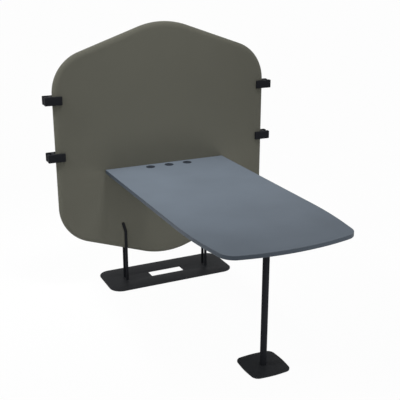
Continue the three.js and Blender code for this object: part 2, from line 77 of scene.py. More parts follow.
# Screen: its outline is a hexagon with rounded corners
SCREEN_SIDE_HEIGHT = 1.019
SCREEN_TIP_RISE = 0.2335
SCREEN_TIP_RADIUS = 0.461
SCREEN_SIDE_RADIUS = 0.2435
SEAM_GAP = 0.0003  # between the front and the rear cover
SEAM_ROUND = 0.0016  # of the covers' edges, which roll in at the seam
SEAM_STEPS = 5
RIM_WIDTH = 0.032  # of the rounding, seen from the front
RIM_STEPS = 14
BOARD_POCKET_INSET = 0.0257
BOARD_POCKET_DEPTH = 0.0093
CROWN = 0.0005  # how far the cover's face falls off towards the rim
CROWN_REACH = 0.03
RIPPLE = 0.00022
RIPPLE_PEAK = 1.6
RIPPLE_WAVES = (  # a strength, then two waves: their turns by u and by v, and where they start
    (1.0, (9.1, 4.3, 0.7), (-3.1, 7.7, 1.9)),
    (0.6, (17.3, 0, 2.2), (0, 14.9, 0.4)),
)
COVER_SPACING = 0.014
FACE_SPACING = 0.036
FACE_RINGS = (0.008, 0.022)  # lines of the mesh on the face, from where the rounding ends

# Rods and the grooves that they press into the cover
ROD_SPACING = 0.5426
ROD_BEND_HEIGHT = 0.332
ROD_BEND_RADIUS = 0.03
ROD_TAIL_LENGTH = 0.0594
ROD_LEAN = math.radians(15)
ROD_END_ROUND = 0.0012
ROD_STEPS = 8  # of its mesh along the stem, and round the bend
ROD_SCREW_HOLE = (0.0043, 0.0263)
GROOVE_CLEARANCE = 0.0003
GROOVE_LIP_RADIUS = 0.003
GROOVE_END = 0.004

# The mesh lines along a groove: how far each lies from the rod's axis, and where they end. The points
# between them keep their distance from the rim, the grooves and the holes.
LINE_OFFSETS = (0, 0.0028, 0.0052, 0.0070, 0.0080, 0.0086, 0.0092, 0.0099, 0.0107, 0.0118, 0.0145)
LINE_END_STEPS = (-0.003, 0, 0.0004, 0.0012, 0.002, 0.0028, 0.0036, 0.0046, 0.007)
LINE_START_INSET = 0.0035
LINE_START_STEP = 0.001  # of the search for where the lines start
LINE_FROM_BEND = 0.006
LINE_BEFORE_END = 0.008
LINE_STEPS = 34
TAIL_LINE_STEPS = 9
LINE_CLEARANCE = 0.0006
POINT_FROM_RIM = 0.035
POINT_FROM_AXIS = 0.028
POINT_PAST_TAIL = 0.02
POINT_FROM_HOLE = 0.012
WITHIN_HOLE = 0.98  # of its radius: a triangle whose middle is nearer fills the hole

# Holes through the screen and threads in the rods
TIE_PLACE_SHARE = 0.68  # of the tail's length
TIE_HOLE_RADIUS = 0.0063
TIE_THREAD_RADIUS = 0.0043
TIE_THREAD_PAST_AXIS = 0.0023
BOLT_HOLE_RADIUS = 0.0033

# Floor plates
PLATE_ROUND = 0.0008
BASE_CORNER_RADIUS = 0.073
SLOT_LENGTH = 0.22
SLOT_WIDTH = 0.072
SLOT_CORNER_RADIUS = 0.003
PAD_INSET = 0.006
FOOT_WIDTH = 0.206
FOOT_BULGE = 0.0083
FOOT_CORNER_RADIUS = 0.0374
FOOT_SIDE_RADIUS = 0.5
ROD_SCREW_HEAD = (0.0083, 0.0043)
FOOT_SCREW_HEAD = (0.0098, 0.0048)

# Desktop
DESK_HALF_OUTLINE = (  # from the rear: each corner's x, its distance from the rear edge, and its radius
    (0.3849, 0, 0.004),
    (0.3816, 1.201, 2.105),
    (0.3402, 1.477, 0.083),
    (0, 1.5545, 1.28),
)
BAND_THICKNESS = 0.002
BAND_ROUND = 0.0013
BAND_JOINT = 0.00008  # the hairline between the edge band and the laminates
GROMMET_HOLE_RADIUS = 0.0238
PILOT_HOLE_RADIUS = 0.0028

# Grommets, with the desktop's face at z = 0
GROMMET_FLANGE_RADIUS = 0.027
GROMMET_FLANGE_HEIGHT = 0.0016
GROMMET_SLEEVE_RADIUS = 0.0237
GROMMET_SLEEVE_LENGTH = 0.026
GROMMET_BORE_RADIUS = 0.0212
GROMMET_SEAT_RADIUS = 0.0232
GROMMET_SEAT_DEPTH = 0.0004
GROMMET_ROUND = 0.0007
CAP_CLEARANCE = 0.0003
CAP_SKIRT_LENGTH = 0.0088
CAP_SKIRT_THICKNESS = 0.0017
CAP_NOTCH_WIDTH = 0.013
CAP_NOTCH_FROM_AXIS = 0.012
CAP_NOTCH_ROUND_SHARE = 0.98  # of half its width

# Post
POST_WALL = 0.002
POST_END_ROUND = 0.0003
FLANGE_THICKNESS = 0.005
FLANGE_CORNER_RADIUS = 0.014
FLANGE_ROUND = 0.0006

# Brackets and screws: each screw has its head's radius and height, its shank's radius, its
# length, and its socket's radius and depth
BRACKET_THICKNESS = 0.003
BRACKET_BEND_RADIUS = 0.0042
BRACKET_INNER_RADIUS = 0.0012
BRACKET_ROUND = 0.0004
BRACKET_SCREW_SPACING = 0.036
WOOD_SCREW = (0.0046, 0.003, 0.0025, 0.018, 0.0018, 0.0018)
BRACKET_BOLT = (0.005, 0.004, 0.003, 0.028, 0.0026, 0.0024)
SCREW_HEAD_ROUND_SHARE = 0.45  # of the head's height
THREAD_PITCH_SHARE = 0.4  # of the shank's radius
THREAD_DEPTH_SHARE = 0.14
SCREW_POINT_SHARE = 0.55  # of the thread's root
SOCKET_CONE_SHARE = 0.3  # of the socket's radius
HOLE_CLEARANCE = 0.0003
BRACKET_HOLE_REACH = 0.02
NUMBERS = range(1, 5)  # of the screws, bolts and inserts of one kind

# Link connectors: the outline seen from above, then the rounding of its edges
CONNECTOR_LENGTH = 0.101
CONNECTOR_GRIP = 0.0456
CONNECTOR_SOCKET_LENGTH = 0.055
CONNECTOR_WEB_THICKNESS = 0.019
CONNECTOR_POCKET_LENGTH = 0.014
CONNECTOR_POCKET_WIDTH = 0.044
CONNECTOR_MOUTH_WIDTH = 0.02
CONNECTOR_CORNER_RADIUS = 0.006
CONNECTOR_FILLET = 0.0008
CONNECTOR_ROUND = 0.004

# Studio: the camera stands where the photograph was taken from
CAMERA_PLACE = (-1.6659, -3.373, 1.9631)
CAMERA_AZIMUTH = math.radians(-25.165)
CAMERA_ELEVATION = math.radians(18.565)
CAMERA_LENS_MM = 66.6
CAMERA_SENSOR_MM = 36
FLOOR_HALF_WIDTH = 60.0
FLOOR_DROP = 0.0003  # keeps the floor clear of the felt pads that lie on it
FLOOR_WHITENING = 0.95
FLOOR_GREY = (0.92, 0.92, 0.92, 1)
WHITE = (1, 1, 1, 1)
WORLD_STRENGTH = 0.7
LAMPS = (  # name, place, what it points at, size, power in watts, and spread in degrees
    ("left", (-3.0, 0.3, 3.4), (-0.25, 0.5, 0.8), 1.0, 6.75, 60),
    ("above", (0.2, -0.8, 4.6), (-0.1, 0.5, 1.0), 1.0, 5.4, 40),
    ("fill", (0.6, -3.6, 0.3), (0.05, 0.67, 0.35), 0.6, 0.96, 20),
)

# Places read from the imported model
screen_low, screen_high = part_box("screen_front_pad")[0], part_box("screen_rear_pad")[1]
band_low, band_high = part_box("edge_band")
base_low, base_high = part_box("base_plate")
foot_low, foot_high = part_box("foot_plate")
post_low, post_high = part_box("front_post")
core_low, core_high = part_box("desktop_core")
SCREEN_HALF_WIDTH = (screen_high.x - screen_low.x) / 2
SCREEN_MIDDLE = (screen_low + screen_high) / 2
FACE_DEPTH = (screen_high.y - screen_low.y) / 2
SEAM_EDGE = SEAM_GAP / 2 + SEAM_ROUND
RIM_DEPTH = FACE_DEPTH - SEAM_EDGE
PLATE_TOP = base_high.z
ROD_RADIUS = (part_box("rod_front_left")[1].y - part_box("rod_front_left")[0].y) / 2
GROOVE_RADIUS = ROD_RADIUS + GROOVE_CLEARANCE
POST_PLACE = (post_low + post_high) / 2
SIDES = {"left": -1, "right": 1}
FACES = {"front": -1, "rear": 1}
GROMMETS = ("left", "centre", "right")


def middle_of(node):
    low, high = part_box(node)
    return (low + high) / 2


# Outlines: lists of corners, anticlockwise, each as x, y and the radius that rounds it

def rectangle(width, depth, radius, centre=(0, 0)):
    signs = ((-1, -1), (1, -1), (1, 1), (-1, 1))
    return [(centre[0] + i * width / 2, centre[1] + j * depth / 2, radius) for i, j in signs]


def left_of(direction):
    return Vector((-direction.y, direction.x))


def drawn_in(corners, i, inset):
    """A corner's place when its outline is drawn in, and the ways of the two sides that meet there."""
    here = Vector(corners[i][:2])
    arriving = (here - Vector(corners[i - 1][:2])).normalized()
    leaving = (Vector(corners[(i + 1) % len(corners)][:2]) - here).normalized()
    first, second = left_of(arriving), left_of(leaving)
    return here + inset * (first + second) / (1 + first.dot(second)), arriving, leaving


def rounded(corners, i, inset=0.0, steps=None):
    """The points round a corner of an outline drawn in by inset; every inset has as many."""
    place, arriving, leaving = drawn_in(corners, i, inset)
    radius = corners[i][2]
    turn = math.atan2(arriving.cross(leaving), arriving.dot(leaving))
    side = math.copysign(1, turn)
    rounding = max(radius - side * inset, 0.0)
    start = place - arriving * rounding * math.tan(abs(turn) / 2)
    centre = start + side * rounding * left_of(arriving)
    if steps is None:
        steps = arc_steps(radius, abs(turn))
    directions = (Matrix.Rotation(turn * k / max(steps, 1), 2) @ arriving for k in range(steps + 1))
    return [centre - side * rounding * left_of(direction) for direction in directions]


def trace(corners, inset=0.0):
    return [point for i in range(len(corners)) for point in rounded(corners, i, inset)]


def inset_corners(corners, inset):
    """The corners of an outline drawn in, as an outline of its own."""
    places = (drawn_in(corners, i, inset)[0] for i in range(len(corners)))
    return [(p.x, p.y, max(corner[2] - inset, SMALLEST_RADIUS)) for p, corner in zip(places, corners)]


def arc_steps(radius, turn):
    if radius <= 0:
        return 0
    return math.ceil(turn / (2 * math.acos(1 - min(ARC_HEIGHT / radius, 0.5))))


def circle(radius, count, centre=(0, 0)):
    turns = (2 * math.pi * k / count for k in range(count))
    return [Vector((centre[0] + radius * math.cos(a), centre[1] + radius * math.sin(a))) for a in turns]


def quarter_turn():
    """(angle, wear) steps round an arris, which wears most in its middle."""
    return [(math.pi / 2 * k / EDGE_STEPS, math.sin(math.pi * k / EDGE_STEPS)) for k in range(EDGE_STEPS + 1)]


def edge_profile(bottom, top, rounding):
    """(inset, height, wear) up a plate's edge, whose two arrises are rounded."""
    low = [
        (rounding * (1 - math.sin(a)), bottom + rounding * (1 - math.cos(a)), wear)
        for a, wear in quarter_turn()
    ]
    high = [(inset, bottom + top - height, wear) for inset, height, wear in reversed(low)]
    return low + high


# Meshes

class Solid:
    """Gathers the points and faces of one closed mesh."""

    def __init__(self):
        self.points = []
        self.wear = []
        self.faces = []
        self.smooth = []

    def ring(self, points, wear=0.0):
        first = len(self.points)
        self.points.extend(Vector(p) for p in points)
        self.wear.extend([float(wear)] * len(points))
        return list(range(first, len(self.points)))

    def add_faces(self, faces, smooth):
        self.faces += faces
        self.smooth += [smooth] * len(faces)

    def wall(self, low, high):
        """Faces between two rings, where a ring of one point is a pole."""
        count = max(len(low), len(high))
        for i in range(count):
            j = (i + 1) % count
            face = [low[i % len(low)], low[j % len(low)], high[j % len(high)], high[i % len(high)]]
            self.add_faces([list(dict.fromkeys(face))], True)

    def cap(self, rings):
        """A flat face within the first ring, with the other rings as its holes."""
        index = [i for ring in rings for i in ring]
        loops = [[self.points[i].xy.to_3d() for i in ring] for ring in rings]
        self.add_faces([[index[k] for k in t] for t in geometry.tessellate_polygon(loops)], False)

    def moved(self, matrix):
        self.points = [matrix @ p for p in self.points]
        return self

    def mesh(self, name, cloth=None):
        """The mesh, with each point's wear, or with its place on the cloth laid flat."""
        mesh = bpy.data.meshes.new(name)
        mesh.from_pydata(self.points, [], self.faces)
        mesh.polygons.foreach_set("use_smooth", self.smooth)
        if cloth is None:
            mesh.attributes.new("wear", "FLOAT", "POINT").data.foreach_set("value", self.wear)
        else:
            mesh.attributes.new("cloth", "FLOAT_VECTOR", "POINT").data.foreach_set("vector", np.ravel(cloth))
        clean(mesh)
        return mesh


def clean(mesh, shortest=MERGE_DISTANCE):
    """Merges points that coincide, and turns all faces outwards."""
    work = bmesh.new()
    work.from_mesh(mesh)
    bmesh.ops.remove_doubles(work, verts=work.verts, dist=shortest)
    bmesh.ops.recalc_face_normals(work, faces=work.faces)
    work.to_mesh(mesh)
    work.free()
    mesh.set_sharp_from_angle(angle=SHARP_ANGLE)


def slab(corners, bottom, top, rounding=0.0, slots=(), bores=(), slot_rounding=0.0):
    """A flat plate. Slots are outlines cut through it. A bore is a centre and its (radius, height) steps."""
    solid = Solid()
    caps = {bottom: [], top: []}

    def add_wall(rings):
        for low, high in zip(rings, rings[1:]):
            solid.wall(low, high)
        caps[bottom].append(rings[0])
        caps[top].append(rings[-1])

    outlines = [(corners, 1, rounding)] + [(slot, -1, slot_rounding) for slot in slots]
    for outline, sign, arris in outlines:
        profile = edge_profile(bottom, top, arris) if arris else [(0, bottom, 0), (0, top, 0)]
        add_wall([
            solid.ring([(*p, height) for p in trace(outline, sign * inset)], wear)
            for inset, height, wear in profile
        ])
    for centre, steps in bores:
        add_wall([solid.ring([(*p, z) for p in circle(r, SCREW_SIDES, centre)]) for r, z in steps])
    for rings in caps.values():
        solid.cap(rings)
    return solid


def bore(centre, radius, low, high):
    return tuple(centre), [(radius, low), (radius, high)]


def pin(radius, low, high):
    return [(0, low, 0), (radius, low, 0), (radius, high, 0), (0, high, 0)]


def straight_up(height):
    return Vector((0, 0, height)), Vector((1, 0, 0)), Vector((0, 1, 0))


def turned(profile, count=ROUND_SIDES, path=straight_up, closed=False, hexagon_from=None):
    """Turns (radius, height, wear) steps about the Z axis, or about a path. Steps from hexagon_from on are
    six-sided."""
    solid = Solid()
    rings = []
    for k, (radius, height, wear) in enumerate(profile):
        centre, side, other = path(height)
        if radius <= 0:
            rings.append(solid.ring([centre], wear))
            continue
        ring = []
        for p in circle(1, count):
            reach = radius
            if hexagon_from is not None and k >= hexagon_from:
                within = math.atan2(p.y, p.x) % (math.pi / 3) - math.pi / 6
                reach *= math.cos(math.pi / 6) / math.cos(within)
            ring.append(centre + reach * (p.x * side + p.y * other))
        rings.append(solid.ring(ring, wear))
    following = rings[1:] + rings[:1] if closed else rings[1:]
    for low, high in zip(rings, following):
        solid.wall(low, high)
    return solid


def round_profile(corners):
    """(radius, height, wear) steps of a profile whose corners are (radius, height, rounding)."""
    steps = []
    for i, corner in enumerate(corners):
        points = rounded(corners, i, steps=EDGE_STEPS if corner[2] else 0)
        steps.extend((p.x, p.y, wear) for p, (_, wear) in zip(points, quarter_turn()))
    return steps


def show(name, data):
    """A new object in the scene."""
    made = bpy.data.objects.new(name, data)
    bpy.context.scene.collection.objects.link(made)
    return made


def meshed(name, solid):
    return solid if isinstance(solid, bpy.types.Mesh) else solid.mesh(name)


def add(name, solid, finish, node):
    """Shows a solid, or a mesh, with one finish, as a piece that stands for a CAD node and hides the node;
    the piece hangs on the body of the node's name, or else on the desk.
    """
    mesh = meshed(name, solid)
    piece = show(name, mesh)
    mesh.materials.clear()
    mesh.materials.append(finish)
    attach(piece, node if node in frame["bodies"] else "desk")
    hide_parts(node)
    return piece


def combined(first, second, operation="DIFFERENCE"):
    """The boolean of two solids, as a mesh."""
    pieces = [show("blank", meshed("blank", solid)) for solid in (first, second)]
    modifier = pieces[0].modifiers.new("combined", "BOOLEAN")
    modifier.object = pieces[1]
    modifier.operation = operation
    modifier.solver = "EXACT"
    evaluated = pieces[0].evaluated_get(bpy.context.evaluated_depsgraph_get())
    mesh = bpy.data.meshes.new_from_object(evaluated)
    for piece in pieces:
        bpy.data.objects.remove(piece)
    clean(mesh, SHORTEST_EDGE)
    return mesh


# Finishes

def linear(red, green, blue):
    """A colour from 0 to 255, as a monitor shows it, as light."""
    shares = (c / 255 for c in (red, green, blue))
    return tuple(s / 12.92 if s <= 0.04045 else ((s + 0.055) / 1.055) ** 2.4 for s in shares) + (1.0,)


def add_node(tree, kind, inputs=(), **settings):
    """A shader node whose inputs are linked to other nodes' outputs, or set to constants."""
    made = tree.nodes.new("ShaderNode" + kind)
    for name, value in settings.items():
        setattr(made, name, value)
    for socket, value in dict(inputs).items():
        if isinstance(value, bpy.types.NodeSocket):
            tree.links.new(value, made.inputs[socket])
        else:
            made.inputs[socket].default_value = value
    return made


class Finish:
    """A node material around one Principled shader."""

    def __init__(self, name, cloth=False, **constants):
        self.material = bpy.data.materials.new(name)
        self.material.use_nodes = True
        self.tree = self.material.node_tree
        self.shader = self.tree.nodes["Principled BSDF"]
        for socket, value in constants.items():
            self.shader.inputs[socket.replace("_", " ").title().replace("Ior", "IOR")].default_value = value
        if cloth:
            self.place = self.attribute("cloth", "Vector")
        else:
            self.place = add_node(self.tree, "TexCoord").outputs["Object"]

    def node(self, kind, inputs, **settings):
        return add_node(self.tree, kind, inputs, **settings).outputs[0]

    def attribute(self, name, output="Fac"):
        return add_node(self.tree, "Attribute", attribute_name=name).outputs[output]

    def stretched(self, scale):
        return self.node("Mapping", {"Vector": self.place, "Scale": scale})

    def noise(self, scale, detail=2.0, roughness=0.5, stretch=None):
        vector = self.stretched(stretch) if stretch else self.place
        inputs = {"Vector": vector, "Scale": scale, "Detail": detail, "Roughness": roughness}
        return self.node("TexNoise", inputs)

    def math(self, operation, first, second=0.5, third=0.5):
        return self.node("Math", {0: first, 1: second, 2: third}, operation=operation)

    def times(self, first, second):
        return self.math("MULTIPLY", first, second)

    def plus(self, first, second):
        return self.math("ADD", first, second)

    def ramp(self, factor, *stops):
        """Each stop is a place from 0 to 1 and a colour from 0 to 255."""
        made = add_node(self.tree, "ValToRGB", {0: factor})
        for element, (place, colour) in zip(made.color_ramp.elements, stops):
            element.position = place
            element.color = linear(*colour)
        return made.outputs[0]

    def blend(self, factor, first, second, mode="MIX"):
        inputs = {0: factor, 6: first, 7: second}
        return add_node(self.tree, "Mix", inputs, data_type="RGBA", blend_type=mode).outputs[2]

    def worn(self, colour, bare, amount, *grain):
        """Brings a paler colour through along the arrises, unevenly."""
        factor = self.times(self.times(self.attribute("wear"), self.noise(*grain)), amount)
        return self.blend(factor, colour, linear(*bare))

    def spread(self, factor, low, high):
        """Maps 0 to 1 onto low to high."""
        return self.node("MapRange", {"Value": factor, "To Min": low, "To Max": high})

    def bump(self, height, distance, strength):
        normal = self.node("Bump", {"Height": height, "Distance": distance, "Strength": strength})
        self.tree.links.new(normal, self.shader.inputs["Normal"])

    def done(self, colour, roughness):
        self.tree.links.new(colour, self.shader.inputs["Base Color"])
        self.tree.links.new(roughness, self.shader.inputs["Roughness"])
        return self.material


def wool(name, dark, light, pitch=0.0011):
    """Plain-woven wool: two sets of yarns that pass over and under each other, with painted shade where they
    dip.
    """
    finish = Finish(name, cloth=True, sheen_weight=0.08, sheen_roughness=0.6, specular_ior_level=0.03)
    waver = finish.times(finish.math("SUBTRACT", finish.noise(260.0, 1.0)), pitch * 1.6)
    waves = []
    for output in add_node(finish.tree, "SeparateXYZ", {0: finish.place}).outputs[:2]:
        waves.append(finish.math("COSINE", finish.times(finish.plus(output, waver), math.pi / pitch)))
    over = finish.math("SIGN", finish.times(*waves))
    yarns = []
    for wave, lift in zip(waves, (0.28, -0.28)):
        power = finish.math("MULTIPLY_ADD", over, lift, 0.72)
        yarns.append(finish.math("POWER", finish.math("ABSOLUTE", wave), power))
    knuckle = finish.times(*yarns)
    fibre = finish.noise(2600.0, 3.0, 0.6)
    melange = finish.noise(620.0, 3.0, 0.65)
    tone = finish.plus(melange, finish.times(finish.math("SUBTRACT", fibre), 0.35))
    # Painted shade: the colour darkens where the yarns dip between crossings, times a faint random tone over
    # the whole cover.
    painted_shade_and_tone = finish.times(finish.spread(knuckle, 0.62, 1.1), finish.spread(finish.noise(5.0), 0.97, 1.03))
    colour = finish.blend(1.0, finish.ramp(tone, (0.3, dark), (0.7, light)), painted_shade_and_tone, "MULTIPLY")
    finish.bump(finish.plus(knuckle, finish.times(fibre, 0.35)), 0.0003, 0.7)
    return finish.done(colour, finish.spread(fibre, 0.86, 0.98))


def laminate(name, dark, light, roughness, specular):
    """Matt laminate with a fine pebble and faint smudges."""
    finish = Finish(name, specular_ior_level=specular)
    smudge = finish.noise(9.0, 4.0, 0.6)
    tone = finish.plus(finish.times(finish.noise(2.6, 3.0), 0.6), finish.times(finish.noise(1900.0), 0.4))
    colour = finish.ramp(tone, (0.32, dark), (0.68, light))
    colour = finish.worn(colour, (168, 176, 184), 0.28, 60.0, 3.0)
    finish.bump(finish.noise(950.0, 3.0, 0.55), 0.00012, 0.7)
    return finish.done(colour, finish.spread(smudge, roughness - 0.05, roughness + 0.05))


def powder_coat(name, dark, light, roughness, specular, grain):
    """Powder-coated steel: an orange-peel skin, a little brighter along its arrises."""
    finish = Finish(name, specular_ior_level=specular)
    dust = finish.noise(14.0, 4.0, 0.62)
    tone = finish.math("MULTIPLY_ADD", finish.noise(grain * 3.1), 0.4)
    colour = finish.ramp(tone, (0.35, dark), (0.75, light))
    colour = finish.blend(finish.spread(dust, 0.0, 0.06), colour, linear(66, 68, 72))
    colour = finish.worn(colour, (120, 122, 126), 0.22, 90.0, 4.0, 0.7)
    finish.bump(finish.noise(grain), 0.0003, 0.8)
    return finish.done(colour, finish.spread(dust, roughness - 0.06, roughness + 0.08))


def moulded(name, dark, light, roughness):
    """Moulded plastic with a spark-eroded texture."""
    finish = Finish(name, specular_ior_level=0.02)
    grain = finish.noise(2400.0, 3.0, 0.6)
    colour = finish.ramp(finish.math("MULTIPLY_ADD", grain, 0.5), (0.4, dark), (0.8, light))
    finish.bump(grain, 0.00015, 0.8)
    return finish.done(colour, finish.spread(finish.noise(30.0, 3.0), roughness - 0.05, roughness + 0.06))


def zinc(name, dark, light):
    """Zinc-plated steel, faintly brushed and mottled."""
    finish = Finish(name, metallic=1.0)
    mottle = finish.noise(420.0, 4.0, 0.6)
    finish.bump(finish.noise(900.0, stretch=(1.0, 1.0, 14.0)), 0.00003, 0.5)
    return finish.done(finish.ramp(mottle, (0.3, dark), (0.7, light)), finish.spread(mottle, 0.28, 0.44))


def felt(name, dark, light):
    """Needled felt: short fibres that lie every way."""
    finish = Finish(name, sheen_weight=0.3, sheen_roughness=0.6, specular_ior_level=0.1)
    fibre = finish.noise(1500.0, 4.0, 0.7, (1.0, 3.0, 1.0))
    crossed = finish.noise(1500.0, 4.0, 0.7, (3.0, 1.0, 1.0))
    tone = finish.math("MAXIMUM", fibre, crossed)
    finish.bump(tone, 0.0004, 0.8)
    return finish.done(finish.ramp(tone, (0.4, dark), (0.75, light)), finish.spread(tone, 0.9, 1.0))


def plywood(name, dark, light, ply):
    """Birch plywood: face grain, and plies that show on its edges."""
    finish = Finish(name, specular_ior_level=0.3)
    grain = finish.noise(22.0, 5.0, 0.6, (18.0, 1.0, 1.2))
    inputs = {"Vector": finish.place, "Scale": 110.0, "Distortion": 0.4}
    plies = finish.node("TexWave", inputs, bands_direction="Y")
    colour = finish.ramp(grain, (0.3, dark), (0.7, light))
    colour = finish.blend(finish.math("MULTIPLY_ADD", plies, 0.25), colour, linear(*ply))
    finish.bump(grain, 0.0002, 0.5)
    return finish.done(colour, finish.spread(grain, 0.6, 0.75))


def particle_board(name, dark, light):
    """Pressed wood chips of several tones."""
    finish = Finish(name, specular_ior_level=0.2)
    inputs = {"Vector": finish.stretched((1.0, 1.0, 2.2)), "Scale": 420.0}
    chips = add_node(finish.tree, "TexVoronoi", inputs)
    split = finish.node("SeparateColor", {0: chips.outputs["Color"]})
    finish.bump(chips.outputs["Distance"], 0.0003, 0.6)
    return finish.done(finish.ramp(split, (0.1, dark), (0.9, light)), finish.spread(split, 0.75, 0.92))


FABRIC = wool("wool", (78, 77, 68), (112, 112, 102))
LAMINATE = laminate("laminate", (97, 105, 114), (106, 115, 125), 0.58, 0.03)
# Painted shade: the edge band's laminate is coloured much darker than the top's, to stand for the shade on
# its upright faces.
EDGE_BAND_PAINTED_SHADE = laminate("edge_band", (55, 64, 74), (65, 74, 84), 0.5, 0.28)
FLOOR_STEEL = powder_coat("floor_steel", (28, 29, 31), (42, 43, 45), 0.46, 0.022, 900.0)
BLACK_STEEL = powder_coat("black_steel", (20, 21, 23), (29, 30, 33), 0.42, 0.02, 1300.0)
BLACK_PLASTIC = moulded("black_plastic", (23, 24, 27), (32, 33, 36), 0.52)
GROMMET_PLASTIC = moulded("grommet_plastic", (34, 38, 43), (46, 50, 57), 0.5)
ZINC = zinc("zinc_steel", (150, 152, 156), (186, 188, 190))
FELT = felt("felt", (42, 42, 42), (72, 72, 71))
PLYWOOD = plywood("plywood", (160, 124, 84), (196, 160, 114), (122, 88, 56))
CHIPBOARD = particle_board("particle_board", (138, 102, 66), (198, 164, 118))


# Screen

def rim_distance(u, v):
    """How far points lie inside the screen's outline, and which way the outline faces there. u and v are
    measured from the screen's middle."""
    x, y = np.abs(u), np.abs(v)
    side_corner = SCREEN_SIDE_HEIGHT / 2
    slope = np.array([SCREEN_TIP_RISE, SCREEN_HALF_WIDTH])
    slope /= np.linalg.norm(slope)
    side_y = side_corner - SCREEN_SIDE_RADIUS * (1 - slope[0]) / slope[1]
    tip_y = side_corner + (slope[0] * SCREEN_HALF_WIDTH - SCREEN_TIP_RADIUS) / slope[1]
    arcs = (
        (SCREEN_HALF_WIDTH - SCREEN_SIDE_RADIUS, side_y, SCREEN_SIDE_RADIUS, -1),
        (0, tip_y, SCREEN_TIP_RADIUS, 1),
    )
    from_side = SCREEN_HALF_WIDTH - x
    from_slope = slope[0] * (SCREEN_HALF_WIDTH - x) + slope[1] * (side_corner - y)
    distance = np.minimum(from_side, from_slope)
    facing = np.where((from_side < from_slope)[:, None], (1.0, 0.0), slope)
    for centre_x, centre_y, radius, side in arcs:
        du, dv = x - centre_x, y - centre_y
        reach = np.maximum(np.hypot(du, dv), 1e-9)
        within = (dv > 0) & (du >= 0) & (side * (slope[0] * dv - slope[1] * du) > 0)
        distance = np.where(within, radius - reach, distance)
        facing = np.where(within[:, None], np.stack([du / reach, dv / reach], -1), facing)
    return distance, facing * np.stack([np.sign(u), np.sign(v)], -1)


def inside_by(x, y):
    """How far one point lies inside the screen's outline."""
    return rim_distance(np.array([x]), np.array([y]))[0][0]


def screen_corners():
    side, tip = SCREEN_SIDE_HEIGHT / 2, SCREEN_SIDE_HEIGHT / 2 + SCREEN_TIP_RISE
    left, right = ((x, -side, SCREEN_SIDE_RADIUS) for x in (-SCREEN_HALF_WIDTH, SCREEN_HALF_WIDTH))
    lower = [left, (0, -tip, SCREEN_TIP_RADIUS), right]
    return lower + [(-x, -y, radius) for x, y, radius in lower]


def screen_ring(inset):
    """The screen's outline drawn in, with points along its straight stretches too."""
    outer = trace(screen_corners())
    inner = trace(screen_corners(), inset)
    points = []
    for i, here in enumerate(outer):
        j = (i + 1) % len(outer)
        steps = max(1, math.ceil((outer[j] - here).length / COVER_SPACING))
        points.extend(inner[i].lerp(inner[j], k / steps) for k in range(steps))
    return points


def rod_bends():
    """The left and the right rod's bend, from the screen's middle, and the way its tail leans."""
    height = ROD_BEND_HEIGHT - SCREEN_MIDDLE.z
    return [
        (Vector((side * ROD_SPACING / 2, height)), Vector((side * math.sin(ROD_LEAN), math.cos(ROD_LEAN))))
        for side in SIDES.values()
    ]


def groove_height(u, v):
    """The cover's height over the board's middle plane where a rod presses into it."""
    lip_from_axis = math.sqrt(GROOVE_RADIUS**2 + 2 * GROOVE_RADIUS * GROOVE_LIP_RADIUS)
    touch = GROOVE_RADIUS * lip_from_axis / (GROOVE_RADIUS + GROOVE_LIP_RADIUS)
    height = np.full(u.shape, FACE_DEPTH)
    for bend, lean in rod_bends():
        du, dv = u - bend.x, v - bend.y
        along = du * lean.x + dv * lean.y
        across = np.where(along > 0, np.abs(du * lean.y - dv * lean.x), np.abs(du))
        wall = np.sqrt(np.maximum(GROOVE_RADIUS**2 - across**2, 0))
        lip = np.sqrt(np.maximum(GROOVE_LIP_RADIUS**2 - (lip_from_axis - across) ** 2, 0))
        depth = np.where(across < touch, wall, GROOVE_LIP_RADIUS - lip)
        depth = np.where(across > lip_from_axis, 0, depth)
        past_end = np.clip((along - ROD_TAIL_LENGTH - GROOVE_CLEARANCE) / GROOVE_END, 0, 1)
        depth *= 0.5 + 0.5 * np.cos(np.pi * past_end)
        height = np.minimum(height, FACE_DEPTH - depth)
    return height


def cover_height(u, v):
    """The cover's height over the board's middle plane, and its place on the cloth laid flat."""
    distance, facing = rim_distance(u, v)
    turn = np.arccos(1 - np.clip(distance / RIM_WIDTH, 0, 1))
    share = np.sin(turn)
    ripple = 0
    for strength, *waves in RIPPLE_WAVES:
        first, second = (np.sin(a * u + b * v + start) for a, b, start in waves)
        ripple = ripple + strength * first * second
    fall = CROWN * np.exp(-np.maximum(distance, 0) / CROWN_REACH) + RIPPLE * (RIPPLE_PEAK - ripple)
    height = SEAM_EDGE + RIM_DEPTH * share - fall * share**2
    height = np.minimum(height, groove_height(u, v))
    turns = np.linspace(0, math.pi / 2, 60)
    curve = np.stack([RIM_WIDTH * np.cos(turns), RIM_DEPTH * np.sin(turns)], -1)
    lengths = np.concatenate([[0], np.cumsum(np.linalg.norm(np.diff(curve, axis=0), axis=1))])
    around = lengths[-1] - np.interp(turn, turns, lengths)
    cloth = np.stack([u, v], -1) + facing * (around - RIM_WIDTH * np.cos(turn))[:, None]
    return height, cloth


def clear_runs(line, holes):
    """The stretches of a line of points that keep clear of the outline and of the holes."""

    def is_clear(point):
        from_holes = ((point - centre).length - radius for centre, radius in holes)
        return min(inside_by(point.x, point.y), *from_holes) > LINE_CLEARANCE

    runs = [[]]
    for point in line:
        if runs[-1] and not all(is_clear(runs[-1][-1].lerp(point, share)) for share in (0.25, 0.5, 0.75)):
            runs.append([])
        if is_clear(point):
            runs[-1].append(point)
        elif runs[-1]:
            runs.append([])
    return [run for run in runs if run]


